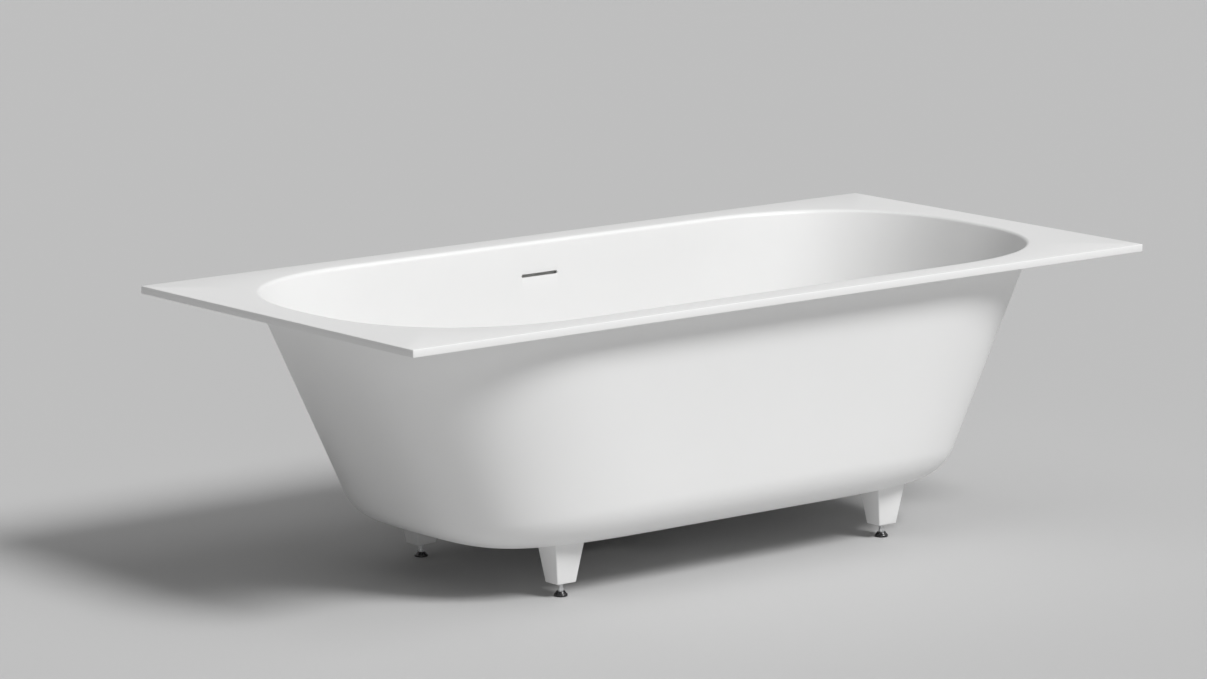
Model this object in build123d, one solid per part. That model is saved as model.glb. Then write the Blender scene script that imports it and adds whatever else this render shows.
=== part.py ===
from build123d import *
import os
from math import atan, copysign, cos, radians, sin, tan

os.makedirs("parts", exist_ok=True)

# All sizes are in mm. The long side lies along X, Z is up, and the origin is on the floor
# under the middle of the rim. Front is the -Y side and left is the -X side.

# Rim slab
rim_length = 1700.0
rim_width = 800.0
rim_thickness = 14.0
rim_arris = 1.0

# Body under the rim: its plan outline is two straight sides joined by superellipse ends
body_depth = 429.0
end_overhang = 69.0
side_overhang = 52.0
end_splay = 217.0
side_splay = 49.0
rim_straight = 800.0
base_straight = 220.0
rim_squareness = 2.5
base_squareness = 3.5
base_radius = 90.0
cove_radius = 6.0

# Cast thicknesses and the rounded lip of the basin
wall = 9.0
floor_thickness = 13.0
lip_radius = 9.0

# Cast leg blocks bonded under the body, set in from the corners of its base
leg_height = 70.0
leg_end_inset = 184.0
leg_side_inset = 96.0
leg_top_length = 64.0
leg_top_width = 53.0
leg_base_length = 42.0
leg_base_width = 35.0
leg_edge_radius = 2.0
leg_key = 6.0
leg_bore_clearance = 1.0
leg_bore_spare = 3.0

# Levelling feet: threaded insert, stud and swivel pad
stud_gap = 16.0
stud_radius = 5.0
stud_length = 60.0
stud_flats = 8.0
stud_flat_height = 5.0
screw_up = 13.5
insert_across_flats = 14.0
insert_length = 20.0
thread_clearance = 0.05
pad_height = 9.0
pad_radius = 12.5
pad_lip_radius = 8.0
pad_side_height = 4.0
pad_base = 2.5

# Overflow: a slot in the back wall, a pocket behind its lip and a bonded outlet box
slot_drop = 62.0
slot_length = 85.0
slot_height = 6.0
slot_lip = 4.0
pocket_length = 120.0
pocket_height = 44.0
pocket_shift = 10.0
pocket_head = 8.0
pocket_corner = 6.0
box_margin = 12.0
box_plate = 3.0
outlet_offset = 51.0
outlet_drop = 3.0
outlet_radius = 10.0
outlet_boss = 4.0
elbow_drop = 38.0

# Overflow pipe down the back of the body
overflow_pipe_radius = 12.5
overflow_pipe_wall = 1.8
overflow_bend = 45.0
pipe_standoff = 24.0

# Screwed pipe joints: socket, wedge seal and ribbed nut
socket_wall = 3.5
socket_depth = 18.0
socket_slip = 0.2
pipe_entry = 17.0
seal_height = 3.0
nut_wall = 2.5
nut_face = 2.5
nut_grip = 12.0
nut_rib = 1.5
nut_rib_count = 12

# Waste outlet in the middle of the basin floor
drain_radius = 26.5
dish_radius = 170.0
dish_fall = 3.0
flange_recess = 2.5
flange_radius = 36.0
flange_thickness = 2.3
flange_bevel = 3.0
flange_edge = 1.0
flange_seal = 1.2
seal_inset = 1.0
throat_radius = 24.0
throat_wall = 3.5
throat_length = 20.0
seat_depth = 2.0
seat_width = 3.0
hub_drop = 6.5
hub_height = 5.0
hub_wall = 2.5
arm_width = 3.0
arm_count = 3

# Push-open plug and its cartridge
plug_radius = 31.0
plug_thickness = 3.0
plug_bevel = 1.0
plug_lift = 9.0
plug_seal_height = 2.5
plug_seal_inner = 17.0
plug_seal_gap = 0.3
plug_hub_radius = 6.5
plug_hub_height = 5.0
cartridge_radius = 8.0
cartridge_length = 30.0
cartridge_collar = 2.0
cartridge_end = 4.0
stem_radius = 4.0
stem_fit = 0.05
stem_grip = 4.0
stem_gap = 2.0

# Waste body clamped under the floor
cup_radius = 33.0
cup_wall = 3.0
cup_collar = 11.5
cup_flange_radius = 37.0
cup_flange = 4.5
cup_seal = 1.5
waste_drop = 33.0
waste_pipe_radius = 20.0
waste_pipe_wall = 2.0
branch_reach = 62.0

# Shallow trap beside the waste body
trap_bearing = 140.0
trap_reach = 147.0
trap_radius = 50.0
trap_wall = 2.5
trap_depth = 77.0
trap_headroom = 6.0
trap_lid_thickness = 3.0
trap_lid_lap = 2.0
trap_baffle = 2.5
trap_passage = 10.0
trap_outlet_rise = 3.0
trap_outlet_neck = 6.0
trap_stop_width = 3.0
trap_stop_step = 2.5
trap_outlet_length = 40.0
trap_socket_length = 22.0
eye_radius = 16.0
eye_length = 12.0
eye_height = 27.0

# Heights that follow from the sizes above
leg_base_z = pad_height + stud_gap
underside_z = leg_base_z + leg_height
rim_top_z = underside_z + body_depth
rim_under_z = rim_top_z - rim_thickness
floor_z = underside_z + floor_thickness
flange_seat_z = floor_z - dish_fall - flange_recess
flange_under_z = flange_seat_z + flange_seal
flange_top_z = flange_under_z + flange_thickness
waste_z = underside_z - waste_drop

# Half sizes of the body at the rim's underside and at its base, before the base is rounded
rim_half_length = rim_length / 2 - end_overhang
rim_half_width = rim_width / 2 - side_overhang
base_half_length = rim_half_length - end_splay
base_half_width = rim_half_width - side_splay
end_lean = atan(end_splay / (rim_under_z - underside_z))
side_lean = atan(side_splay / (rim_under_z - underside_z))

leg_x = base_half_length - leg_end_inset
leg_y = base_half_width - leg_side_inset

UP = Align.MIN
DOWN = Align.MAX
MID = Align.CENTER


def rod(radius, height, hang=UP):
    """A cylinder that stands on, or hangs from, the local origin."""
    return Cylinder(radius, height, align=(MID, MID, hang))


def tube(outer, inner, height, hang=UP):
    return rod(outer, height, hang) - rod(inner, height, hang)


def block(length, width, height, hang=UP):
    return Box(length, width, height, align=(MID, MID, hang))


def turned(points):
    """A solid of revolution about Z from (radius, height) points."""
    return revolve(Plane.XZ * make_face(Polyline(*points, close=True)), Axis.Z)


def on_rise(base, rim, z):
    """A value that changes evenly from the body's base to the rim's underside."""
    return base + (rim - base) * (z - underside_z) / (rim_under_z - underside_z)


def half_length(z, inset=0.0):
    return on_rise(base_half_length, rim_half_length, z) - inset / cos(end_lean)


def half_width(z, inset=0.0):
    return on_rise(base_half_width, rim_half_width, z) - inset / cos(side_lean)


def outline(z, inset=0.0, steps=6):
    """Plan outline of the body at height z, moved in square to the wall by inset."""
    length = half_length(z, inset)
    width = half_width(z, inset)
    straight = on_rise(base_straight, rim_straight, z) / 2
    power = 2 / on_rise(base_squareness, rim_squareness, z)
    points = []
    for step in range(-steps, steps + 1):
        turn = radians(90 * step / steps)
        reach = abs(cos(turn)) ** power if abs(step) < steps else 0
        points.append((straight + (length - straight) * reach, width * copysign(abs(sin(turn)) ** power, turn)))
    right = Spline(points, tangents=((1, 0), (-1, 0)))
    left = Spline([(-x, -y) for x, y in points], tangents=((-1, 0), (1, 0)))
    front = Line((-straight, -width), (straight, -width))
    back = Line((straight, width), (-straight, width))
    return Plane.XY.offset(z) * make_face(Wire([front, right, back, left]))


def level_edges(solid, z, half_x, half_y):
    """Edges that lie at height z, within half_x and half_y of the middle."""
    picked = []
    for edge in solid.edges().filter_by_position(Axis.Z, z - 0.01, z + 0.01):
        box = edge.bounding_box()
        if box.size.Z < 0.01 and max(-box.min.X, box.max.X) < half_x and max(-box.min.Y, box.max.Y) < half_y:
            picked.append(edge)
    return picked


# Overflow frame: at the slot on the basin side of the back wall, local X along the rim,
# local Y down the wall and local Z out through it
slot_z = rim_top_z - slot_drop
overflow_frame = Plane(
    origin=(0, half_width(slot_z, wall), slot_z),
    x_dir=(1, 0, 0),
    z_dir=(0, cos(side_lean), -sin(side_lean)),
)
pocket_y = pocket_height / 2 - pocket_head
pipe_out = wall + pipe_standoff


def make_body():
    """Outer form of the body, with a sharp edge round its base."""
    return loft([outline(underside_z), outline(rim_under_z)], ruled=True)


def make_tub_shell():
    """Rim, basin and body cast as one piece, with the overflow slot and the drain."""
    slab = Pos(0, 0, rim_under_z) * block(rim_length, rim_width, rim_thickness)
    slab = chamfer(slab.edges(), rim_arris)
    basin = loft([outline(floor_z, wall), outline(rim_top_z, wall)], ruled=True)
    shell = (slab + make_body()) - basin
    for z, radius in (
        (rim_top_z, lip_radius),
        (underside_z, base_radius),
        (floor_z, base_radius - wall),
        (rim_under_z, cove_radius),
    ):
        shell = fillet(level_edges(shell, z, rim_half_length + wall, rim_half_width + wall), radius)

    slot = extrude(SlotOverall(slot_length, slot_height), wall)
    pocket = extrude(RectangleRounded(pocket_length, pocket_height, pocket_corner), wall)
    pocket = Pos(pocket_shift, pocket_y, slot_lip) * pocket
    shell -= overflow_frame * (Pos(0, 0, -wall / 2) * slot + pocket)

    dish = Cone(flange_radius, dish_radius, dish_fall, align=(MID, MID, DOWN))
    shell -= Pos(0, 0, floor_z) * dish
    shell -= Pos(0, 0, flange_seat_z) * rod(flange_radius + socket_slip, flange_recess + dish_fall)
    shell -= Pos(0, 0, underside_z) * rod(drain_radius, floor_thickness)
    return shell


def insert_blank():
    """Outside of the threaded insert, hexagonal so that it can't turn in the leg."""
    return extrude(RegularPolygon(insert_across_flats / 2, 6, major_radius=False), insert_length)


def make_leg():
    """Tapered back right block cast in the tub's material, bored for its insert and stud."""
    rise = (leg_height + leg_key) / leg_height
    top_length = leg_base_length + (leg_top_length - leg_base_length) * rise
    top_width = leg_base_width + (leg_top_width - leg_base_width) * rise
    base = Rectangle(leg_base_length, leg_base_width)
    top = Rectangle(top_length, top_width)
    leg = loft([base, Pos(0, 0, leg_height + leg_key) * top], ruled=True)
    upright = [edge for edge in leg.edges() if edge.bounding_box().size.Z > leg_height]
    leg = fillet(upright, leg_edge_radius)
    leg -= insert_blank()
    stud_reach = pad_base + stud_length + screw_up + leg_bore_spare - leg_base_z
    leg -= rod(stud_radius + leg_bore_clearance, stud_reach)
    body = make_body()
    body = fillet(level_edges(body, underside_z, rim_length, rim_width), base_radius)
    return Pos(leg_x, leg_y, leg_base_z) * leg - body


def make_leg_insert():
    """Brass insert with the stud's thread, moulded in the leg's foot."""
    bore = rod(stud_radius + thread_clearance, insert_length)
    return Pos(0, 0, leg_base_z) * (insert_blank() - bore)


def make_stud():
    """Threaded stud with two spanner flats just above the pad."""
    stud = Pos(0, 0, pad_base) * rod(stud_radius, stud_length)
    for side in (-1, 1):
        flat = block(2 * stud_radius, 2 * stud_radius, stud_flat_height)
        stud -= Pos(0, side * (stud_flats / 2 + stud_radius), pad_height) * flat
    return stud


def make_foot_pad():
    """Moulded pad: a short drum that tapers to a lip around the stud's swivel end."""
    pad = turned(
        [
            (0, 0),
            (pad_radius, 0),
            (pad_radius, pad_side_height),
            (pad_lip_radius, pad_height),
            (0, pad_height),
        ]
    )
    return pad - Pos(0, 0, pad_base) * rod(stud_radius + thread_clearance, pad_height)


def pipe_socket(pipe_radius, bore_radius, length, end=0.0):
    """Threaded socket whose mouth is at the local origin, and the space inside it."""
    solid = rod(pipe_radius + socket_wall, length, DOWN)
    space = rod(pipe_radius + socket_slip, socket_depth, DOWN) + rod(bore_radius, length - end, DOWN)
    return solid, space


def ribbed_nut(thread_radius, bore_radius, lift):
    """Nut over a mouth at the local origin, with its face lifted by the seal."""
    outline_points = []
    for step in range(4 * nut_rib_count):
        turn = radians(360 * (step + 0.5) / (4 * nut_rib_count))
        reach = thread_radius + nut_wall + (nut_rib if step % 4 < 2 else 0)
        outline_points.append((reach * cos(turn), reach * sin(turn)))
    height = nut_grip + lift + nut_face
    nut = extrude(make_face(Polyline(*outline_points, close=True)), height)
    nut -= rod(thread_radius + thread_clearance, nut_grip + lift)
    if bore_radius > 0:
        nut -= rod(bore_radius, height)
    return Pos(0, 0, -nut_grip) * nut


def wedge_seal(pipe_radius):
    """Wedge ring squeezed between the socket's mouth and the nut, tight on the pipe."""
    return turned(
        [
            (pipe_radius, 0),
            (pipe_radius + socket_wall, 0),
            (pipe_radius, seal_height),
        ]
    )


def bearing(degrees_from_x, reach, z):
    """A plane at a distance from the drain's axis that faces away from it."""
    turn = radians(degrees_from_x)
    outward = Vector(cos(turn), sin(turn), 0)
    return Plane(origin=outward * reach + Vector(0, 0, z), x_dir=(0, 0, 1), z_dir=outward)


# Mouths of the three screwed joints, each facing along its pipe
overflow_top = Plane(
    origin=overflow_frame.from_local_coords((outlet_offset, outlet_drop + elbow_drop, pipe_out)),
    x_dir=(1, 0, 0),
    z_dir=overflow_frame.y_dir,
)
pipe_fall = (overflow_top.origin.Z - waste_z) / -overflow_top.z_dir.Z
pipe_corner = overflow_top.origin + overflow_top.z_dir * pipe_fall
branch_way = Vector(pipe_corner.X, pipe_corner.Y, 0).normalized()
overflow_base = Plane(
    origin=branch_way * branch_reach + Vector(0, 0, waste_z), x_dir=(0, 0, 1), z_dir=branch_way
)
trap_frame = bearing(trap_bearing, trap_reach, waste_z)
trap_mouth = Plane(
    origin=bearing(trap_bearing, trap_reach - trap_radius - trap_socket_length, waste_z).origin,
    x_dir=(0, 0, 1),
    z_dir=-trap_frame.z_dir,
)


def make_overflow_box():
    """Plate bonded over the pocket, with an elbow that turns the water down the wall."""
    plate = extrude(
        RectangleRounded(
            pocket_length + 2 * box_margin, pocket_height + 2 * box_margin, pocket_corner + box_margin / 2
        ),
        box_plate,
    )
    box = Pos(pocket_shift, pocket_y, 0) * plate
    socket_radius = overflow_pipe_radius + socket_wall
    end = socket_radius - outlet_radius
    socket, space = pipe_socket(overflow_pipe_radius, outlet_radius, elbow_drop + socket_radius, end)
    down = Plane(origin=(0, elbow_drop, pipe_standoff), x_dir=(1, 0, 0), z_dir=(0, 1, 0))
    elbow = down * socket + rod(outlet_radius + outlet_boss, pipe_standoff)
    elbow -= down * space
    box += Pos(outlet_offset, outlet_drop, 0) * elbow
    box -= Pos(outlet_offset, outlet_drop, 0) * rod(outlet_radius, pipe_standoff)
    return overflow_frame * Pos(0, 0, wall) * box


def make_overflow_pipe():
    """Rigid pipe down the back of the body and in under it to the waste body."""
    start = overflow_top.origin - overflow_top.z_dir * (pipe_entry)
    end = overflow_base.origin - overflow_base.z_dir * (pipe_entry)
    route = FilletPolyline(start, pipe_corner, end, radius=overflow_bend)
    ring = Circle(overflow_pipe_radius) - Circle(overflow_pipe_radius - overflow_pipe_wall)
    return sweep(Plane(origin=start, x_dir=(1, 0, 0), z_dir=overflow_top.z_dir) * ring, path=route)


def make_waste_flange():
    """Plated strainer flange with its threaded throat and the spider for the cartridge."""
    inner = throat_radius - throat_wall
    seat = inner + seat_width
    base_z = flange_under_z - throat_length
    seat_z = flange_top_z - seat_depth
    flange = turned(
        [
            (inner, base_z),
            (throat_radius, base_z),
            (throat_radius, flange_under_z),
            (flange_radius, flange_under_z),
            (flange_radius, flange_under_z + flange_edge),
            (flange_radius - flange_bevel, flange_top_z),
            (seat, flange_top_z),
            (seat, seat_z),
            (inner, seat_z),
        ]
    )
    hub_z = flange_top_z - hub_drop - hub_height
    hub_radius = cartridge_radius + thread_clearance + hub_wall
    spider = rod(hub_radius, hub_height)
    arm_reach = throat_radius - throat_wall / 2
    arm = Pos(arm_reach / 2, 0, 0) * block(arm_reach, arm_width, hub_height)
    spider += [arm.rotate(Axis.Z, 90 + turn * 360 / arm_count) for turn in range(arm_count)]
    spider -= rod(cartridge_radius + thread_clearance, hub_height)
    return flange + Pos(0, 0, hub_z) * spider


def make_flange_seal():
    return Pos(0, 0, flange_seat_z) * tube(flange_radius - seal_inset, drain_radius, flange_seal)


def make_cup_seal():
    seal = tube(cup_flange_radius - seal_inset, drain_radius, cup_seal)
    return Pos(0, 0, underside_z - cup_seal) * seal


def make_cartridge():
    """Click cartridge: a sleeve through the spider's hub with a collar on top of it."""
    top_z = flange_top_z - hub_drop
    sleeve = rod(cartridge_radius, cartridge_length, DOWN)
    sleeve += rod(cartridge_radius + hub_wall, cartridge_collar)
    bore = rod(stem_radius + stem_fit, cartridge_collar + cartridge_length - cartridge_end)
    return Pos(0, 0, top_z) * (sleeve - Pos(0, 0, cartridge_end - cartridge_length) * bore)


def plug_under_z():
    """Underside of the closed plug, on top of its seal."""
    return flange_top_z - seat_depth + plug_seal_height


def make_plug_cap():
    """Flat cap with a bevelled edge and the hub that screws on to the stem."""
    cap = rod(plug_radius, plug_thickness)
    cap = chamfer(cap.edges().sort_by(Axis.Z)[-1], plug_bevel)
    cap += rod(plug_hub_radius, plug_hub_height, DOWN)
    cap -= Pos(0, 0, -plug_hub_height) * rod(stem_radius, stem_grip)
    return Pos(0, 0, plug_under_z()) * cap


def make_plug_seal():
    outer = throat_radius - throat_wall + seat_width - plug_seal_gap
    return Pos(0, 0, plug_under_z()) * tube(outer, plug_seal_inner, plug_seal_height, DOWN)


def make_plug_stem():
    top_z = plug_under_z() - plug_hub_height + stem_grip
    base_z = flange_top_z - hub_drop - cartridge_length + cartridge_end + stem_gap
    return Pos(0, 0, base_z) * rod(stem_radius, top_z - base_z)


def make_waste_body():
    """Moulded cup under the floor, with the outlet to the trap and the overflow branch."""
    top_z = underside_z - cup_seal
    bore = waste_pipe_radius - waste_pipe_wall
    cup_base_z = waste_z - bore
    chamber_top_z = top_z - cup_collar
    inner = cup_radius - cup_wall
    cup = Pos(0, 0, top_z) * rod(cup_flange_radius, cup_flange, DOWN)
    cup += Pos(0, 0, cup_base_z - cup_wall) * rod(cup_radius, top_z - cup_base_z + cup_wall - cup_flange)
    outlet_end = trap_reach - trap_radius - trap_socket_length + pipe_entry
    way = bearing(trap_bearing, 0, waste_z)
    cup += way * rod(waste_pipe_radius, outlet_end)
    socket, space = pipe_socket(
        overflow_pipe_radius, overflow_pipe_radius - overflow_pipe_wall, branch_reach
    )
    cup += overflow_base * socket
    cup -= Pos(0, 0, cup_base_z) * rod(inner, chamber_top_z - cup_base_z)
    cup -= Pos(0, 0, chamber_top_z) * rod(throat_radius + thread_clearance, cup_collar)
    cup -= way * rod(bore, outlet_end)
    cup -= overflow_base * space
    return cup


trap_x = trap_frame.origin.X
trap_y = trap_frame.origin.Y
trap_base_z = underside_z - trap_depth
trap_top_z = underside_z - trap_headroom
trap_rim_z = trap_top_z - trap_lid_thickness
trap_outlet_z = waste_z + trap_outlet_rise
eye_frame = Plane(
    origin=(trap_x - trap_radius - eye_length, trap_y, trap_base_z + eye_height),
    x_dir=(0, 0, 1),
    z_dir=(-1, 0, 0),
)


# Pipe ends of the trap: the outlet's frame is at the bowl's axis and looks along the pipe
trap_outlet = Plane(origin=(trap_x, trap_y, trap_outlet_z), x_dir=(1, 0, 0), z_dir=(0, 1, 0))
waste_bore = waste_pipe_radius - waste_pipe_wall


def trap_drum(radius, base_z=0.0):
    """A cylinder on the trap's axis, as high as the whole trap."""
    return Pos(trap_x, trap_y, base_z) * rod(radius, underside_z)


def trap_socket():
    """The socket that takes the waste body's outlet, run in to the bowl, and its space."""
    return pipe_socket(waste_pipe_radius, waste_bore, trap_socket_length + trap_radius / 2)


def make_trap_bowl():
    """Round trap bowl with holes for its inlet, its outlet and the cleaning eye."""
    bowl = Pos(trap_x, trap_y, trap_base_z) * rod(trap_radius, trap_rim_z - trap_base_z)
    bowl -= trap_drum(trap_radius - trap_wall, trap_base_z + trap_wall)
    bowl -= trap_mouth * trap_socket()[1]
    bowl -= trap_outlet * rod(waste_bore, trap_radius)
    return bowl - eye_frame * rod(eye_radius, eye_length + trap_radius / 2, DOWN)


def make_trap_inlet():
    """Inlet socket welded on the bowl."""
    solid, space = trap_socket()
    return trap_mouth * solid - trap_mouth * space - trap_drum(trap_radius)


def make_trap_outlet():
    """Outlet pipe welded on the bowl, with a collar that stops the waste pipe's fitting."""
    stop_reach = trap_radius + trap_outlet_neck
    outlet_reach = stop_reach + trap_stop_width + trap_outlet_length
    pipe = rod(waste_pipe_radius, outlet_reach)
    pipe += Pos(0, 0, stop_reach) * rod(waste_pipe_radius + trap_stop_step, trap_stop_width)
    return trap_outlet * (pipe - rod(waste_bore, outlet_reach)) - trap_drum(trap_radius)


def make_trap_eye():
    """Threaded boss of the cleaning eye, welded on the bowl."""
    boss = tube(eye_radius + socket_wall, eye_radius, eye_length + trap_radius / 2, DOWN)
    return eye_frame * boss - trap_drum(trap_radius)


def make_trap_lid():
    """Welded lid whose hanging baffle makes the water seal."""
    inner = trap_radius - trap_wall - socket_slip
    lid = Pos(0, 0, trap_rim_z) * rod(trap_radius + trap_lid_lap, trap_lid_thickness)
    baffle_z = trap_base_z + trap_wall + trap_passage
    baffle = Pos(0, 0, baffle_z) * block(2 * trap_radius, trap_baffle, trap_rim_z - baffle_z)
    baffle = baffle.rotate(Axis.Z, (trap_bearing - 180 + 90) / 2) & (
        Pos(0, 0, baffle_z) * rod(inner, trap_depth)
    )
    return Pos(trap_x, trap_y, 0) * (lid + baffle)


def make_eye_cap():
    return eye_frame * ribbed_nut(eye_radius + socket_wall, 0, cup_seal)


def make_eye_seal():
    return eye_frame * tube(eye_radius + socket_wall, eye_radius, cup_seal)


nodes = {"tub_shell": make_tub_shell()}
foot = {"leg_insert": make_leg_insert(), "stud": make_stud(), "foot_pad": make_foot_pad()}
back_right_leg = make_leg()
for end, end_side in (("left", -1), ("right", 1)):
    for side, depth_side in (("front", -1), ("back", 1)):
        leg = back_right_leg if end_side > 0 else back_right_leg.mirror(Plane.YZ)
        nodes[f"leg_{side}_{end}"] = leg if depth_side > 0 else leg.mirror(Plane.XZ)
        for name, piece in foot.items():
            nodes[f"{name}_{side}_{end}"] = Pos(end_side * leg_x, depth_side * leg_y, 0) * piece

nodes["waste_flange"] = make_waste_flange()
nodes["waste_flange_seal"] = make_flange_seal()
nodes["waste_body"] = make_waste_body()
nodes["waste_body_seal"] = make_cup_seal()
nodes["plug_cartridge"] = make_cartridge()
nodes["plug_stem"] = make_plug_stem()
nodes["plug_cap"] = make_plug_cap()
nodes["plug_seal"] = make_plug_seal()
nodes["overflow_box"] = make_overflow_box()
nodes["overflow_pipe"] = make_overflow_pipe()
overflow_thread = overflow_pipe_radius + socket_wall
for place, mouth in (("upper", overflow_top), ("lower", overflow_base)):
    nut = ribbed_nut(overflow_thread, overflow_pipe_radius + socket_slip, seal_height)
    nodes[f"overflow_nut_{place}"] = mouth * nut
    nodes[f"overflow_pipe_seal_{place}"] = mouth * wedge_seal(overflow_pipe_radius)
nodes["trap_bowl"] = make_trap_bowl()
nodes["trap_inlet"] = make_trap_inlet()
nodes["trap_outlet"] = make_trap_outlet()
nodes["trap_eye"] = make_trap_eye()
nodes["trap_lid"] = make_trap_lid()
nodes["trap_inlet_nut"] = trap_mouth * ribbed_nut(
    waste_pipe_radius + socket_wall, waste_pipe_radius + socket_slip, seal_height
)
nodes["trap_inlet_seal"] = trap_mouth * wedge_seal(waste_pipe_radius)
nodes["trap_eye_cap"] = make_eye_cap()
nodes["trap_eye_seal"] = make_eye_seal()

for name, solid in nodes.items():
    export_step(solid, f"parts/{name}.step")
print(len(nodes), "nodes")
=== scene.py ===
import bmesh
import bpy
from math import atan, copysign, cos, pi, radians, sin, tan
from mathutils import Matrix, Vector


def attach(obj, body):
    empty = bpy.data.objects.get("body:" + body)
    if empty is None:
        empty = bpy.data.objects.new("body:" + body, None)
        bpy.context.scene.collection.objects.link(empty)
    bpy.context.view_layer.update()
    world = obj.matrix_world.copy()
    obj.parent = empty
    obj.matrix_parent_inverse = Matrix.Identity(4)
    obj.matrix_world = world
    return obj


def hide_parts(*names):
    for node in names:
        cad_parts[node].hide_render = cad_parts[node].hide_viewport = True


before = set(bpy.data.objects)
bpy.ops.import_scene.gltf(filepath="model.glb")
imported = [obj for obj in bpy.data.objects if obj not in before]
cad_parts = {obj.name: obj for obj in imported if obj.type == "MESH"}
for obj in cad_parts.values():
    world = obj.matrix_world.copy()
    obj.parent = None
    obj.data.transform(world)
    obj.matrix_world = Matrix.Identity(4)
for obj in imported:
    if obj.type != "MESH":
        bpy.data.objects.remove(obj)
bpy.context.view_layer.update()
bpy.ops.object.select_all(action="DESELECT")

# Camera: it stands in front of the tub's left end, a little above the rim, and looks along it
# through a long lens.
bpy.ops.object.camera_add(
    location=(-5.9741, -7.1934, 2.1110), rotation=(radians(79.544), 0, radians(-39.151))
)
camera = bpy.context.object
camera.name = "camera"
camera.data.sensor_width = 36
camera.data.lens = 155.69
camera.data.clip_end = 100
bpy.context.scene.camera = camera
bpy.context.scene.view_settings.view_transform = "Standard"

# Floor: one wide sheet of pale matt studio paper. A key lamp lights it from the front and three weak
# ones fill in, and the air round it is the same pale grey, so that no horizon shows.


def new_finish(name):
    """A material with one Principled shader, and its Object coordinates."""
    finish = bpy.data.materials.new(name)
    finish.use_nodes = True
    tree = finish.node_tree
    shader = tree.nodes["Principled BSDF"]
    place = tree.nodes.new("ShaderNodeTexCoord").outputs["Object"]
    return finish, tree, shader, place


paper, tree, shader, place = new_finish("studio_paper")
shader.inputs["Roughness"].default_value = 0.9
shader.inputs["Specular IOR Level"].default_value = 0.1
fibre = tree.nodes.new("ShaderNodeTexNoise")
fibre.inputs["Scale"].default_value = 90
fibre.inputs["Detail"].default_value = 4
tree.links.new(place, fibre.inputs["Vector"])
tone = tree.nodes.new("ShaderNodeValToRGB")
tone.color_ramp.elements[0].color = (0.565, 0.565, 0.565, 1)
tone.color_ramp.elements[1].color = (0.577, 0.577, 0.577, 1)
tree.links.new(fibre.outputs["Fac"], tone.inputs["Fac"])
tree.links.new(tone.outputs["Color"], shader.inputs["Base Color"])
bpy.ops.mesh.primitive_plane_add(size=80)
floor = bpy.context.object
floor.name = "floor"
floor.data.materials.append(paper)

air = bpy.data.worlds.new("studio_air")
air.use_nodes = True
bpy.context.scene.world = air
tree = air.node_tree
soft_light = tree.nodes["Background"]
soft_light.inputs["Color"].default_value = (1, 1, 1, 1)
soft_light.inputs["Strength"].default_value = 0.08
seen_air = tree.nodes.new("ShaderNodeBackground")
seen_air.inputs["Color"].default_value = (0.54, 0.54, 0.54, 1)
ray = tree.nodes.new("ShaderNodeLightPath")
seen = tree.nodes.new("ShaderNodeMath")
seen.operation = "MAXIMUM"
tree.links.new(ray.outputs["Is Camera Ray"], seen.inputs[0])
tree.links.new(ray.outputs["Is Transmission Ray"], seen.inputs[1])
either = tree.nodes.new("ShaderNodeMath")
either.operation = "MAXIMUM"
tree.links.new(seen.outputs[0], either.inputs[0])
tree.links.new(ray.outputs["Is Glossy Ray"], either.inputs[1])
swap = tree.nodes.new("ShaderNodeMixShader")
tree.links.new(either.outputs[0], swap.inputs["Fac"])
tree.links.new(soft_light.outputs[0], swap.inputs[1])
tree.links.new(seen_air.outputs[0], swap.inputs[2])
tree.links.new(swap.outputs[0], tree.nodes["World Output"].inputs["Surface"])

for lamp_name, azimuth, height, width, strength in (
    ("key_lamp", 165, 46, 20, 2.42),
    ("high_lamp", 140, 60, 40, 0.45),
    ("top_lamp", 300, 75, 60, 0.40),
    ("low_lamp", 215, 6, 30, 0.44),
):
    turn = radians(azimuth)
    rise = radians(height)
    way = Vector((sin(turn) * cos(rise), cos(turn) * cos(rise), sin(rise)))
    bpy.ops.object.light_add(type="SUN", location=way * 8)
    lamp = bpy.context.object
    lamp.name = lamp_name
    lamp.data.angle = radians(width)
    lamp.data.energy = strength
    lamp.rotation_euler = way.to_track_quat("Z", "Y").to_euler()

# Tub: the rim, the oval basin and the tapering body are one casting of white mineral composite with
# a satin gelcoat. It is drawn as a ring of points that is extruded over the whole section, from the
# drain's lower edge out under the base, up the body, over the rim and down the basin.
rim_length = 1.7
rim_width = 0.8
rim_top = 0.524
rim_under = 0.510
base_under = 0.095
basin_floor = 0.108
wall = 0.009
base_half_length = 0.564
base_half_width = 0.299
end_spread = 0.217
side_spread = 0.049
base_round = 0.090
basin_round = 0.081
lip_round = 0.009
cove_round = 0.006
dish_radius = 0.170
dish_foot = 0.105
recess_radius = 0.0362
recess_floor = 0.1025
drain_radius = 0.0265
end_lean = atan(end_spread / (rim_under - base_under))
side_lean = atan(side_spread / (rim_under - base_under))
stations = 288
side_stations = 32
end_stations = stations // 2 - side_stations


def oval(height, inset=0.0):
    """The body's plan outline at a height, as points in order round it from the front right."""
    share = (height - base_under) / (rim_under - base_under)
    half_length = base_half_length + end_spread * share - inset / cos(end_lean)
    half_width = base_half_width + side_spread * share - inset / cos(side_lean)
    straight = 0.110 + 0.290 * share
    power = 2 / (3.5 - share)
    right = []
    for step in range(end_stations + 1):
        part = step / end_stations
        turn = pi * (part - 0.2 * sin(4 * pi * part) / (4 * pi)) - pi / 2
        reach = abs(cos(turn)) ** power if 0 < step < end_stations else 0
        across = half_width * copysign(abs(sin(turn)) ** power, turn)
        right.append(Vector((straight + (half_length - straight) * reach, across)))
    points = []
    for side in (1, -1):
        points += [side * point for point in right]
        for step in range(1, side_stations):
            points.append(side * Vector((straight * (1 - 2 * step / side_stations), half_width)))
    return points


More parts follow.
